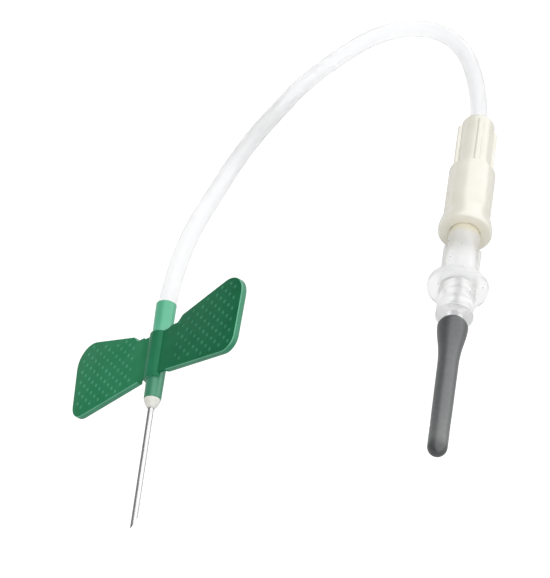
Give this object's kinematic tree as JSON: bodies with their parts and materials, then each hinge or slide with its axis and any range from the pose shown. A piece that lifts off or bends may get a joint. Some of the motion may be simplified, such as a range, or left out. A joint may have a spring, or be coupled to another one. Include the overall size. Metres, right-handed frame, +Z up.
{
  "type": "butterfly needle",
  "caption": "Winged blood collection needle with folding wings and clear tubing, whose luer connector holds a pull-off threaded adapter with a rubber-sleeved rear needle.",
  "frame": {"origin": "on the surface that the set lies on, below the centre of the box round all but the tubing", "axes": "+Z up from that surface; +Y along the set's length, away from the needle tips; +X from the winged needle to the connector"},
  "size_m": [0.061, 0.1055, 0.0271],
  "materials": {
    "needle_steel": "bright drawn steel",
    "white_plastic": "satin",
    "green_vinyl": "soft translucent vinyl",
    "clear_tubing": "clear soft tube",
    "ivory_plastic": "satin",
    "clear_plastic": "clear moulded plastic",
    "grey_rubber": "matte"
  },
  "bodies": {
    "line": {"tubing": "clear_tubing", "luer_connector": "ivory_plastic", "wing_sleeve": "green_vinyl", "needle_hub": "white_plastic", "patient_cannula": "needle_steel"},
    "left_wing": {"left_wing": "green_vinyl"},
    "right_wing": {"right_wing": "green_vinyl"},
    "adapter": {"luer_adapter": "clear_plastic", "rear_cannula": "needle_steel", "rubber_sleeve": "grey_rubber"}
  },
  "joints": [
    {"name": "left_wing_fold", "type": "hinge", "parent": "line", "child": "left_wing", "pos_m": [-0.02044, -0.01435, 0.01124], "axis": [-0.1174, -0.9632, -0.2419], "range_deg": [-25, 98], "stiffness_Nm_per_rad": 0.004},
    {"name": "right_wing_fold", "type": "hinge", "parent": "line", "child": "right_wing", "pos_m": [-0.01651, -0.0159, 0.0155], "axis": [0.1174, 0.9632, 0.2419], "range_deg": [-25, 98], "stiffness_Nm_per_rad": 0.004},
    {"name": "adapter_pull", "type": "slide", "parent": "line", "child": "adapter", "axis": [-0.1207, -0.9927, 0], "range_m": [0, 0.01]}
  ]
}
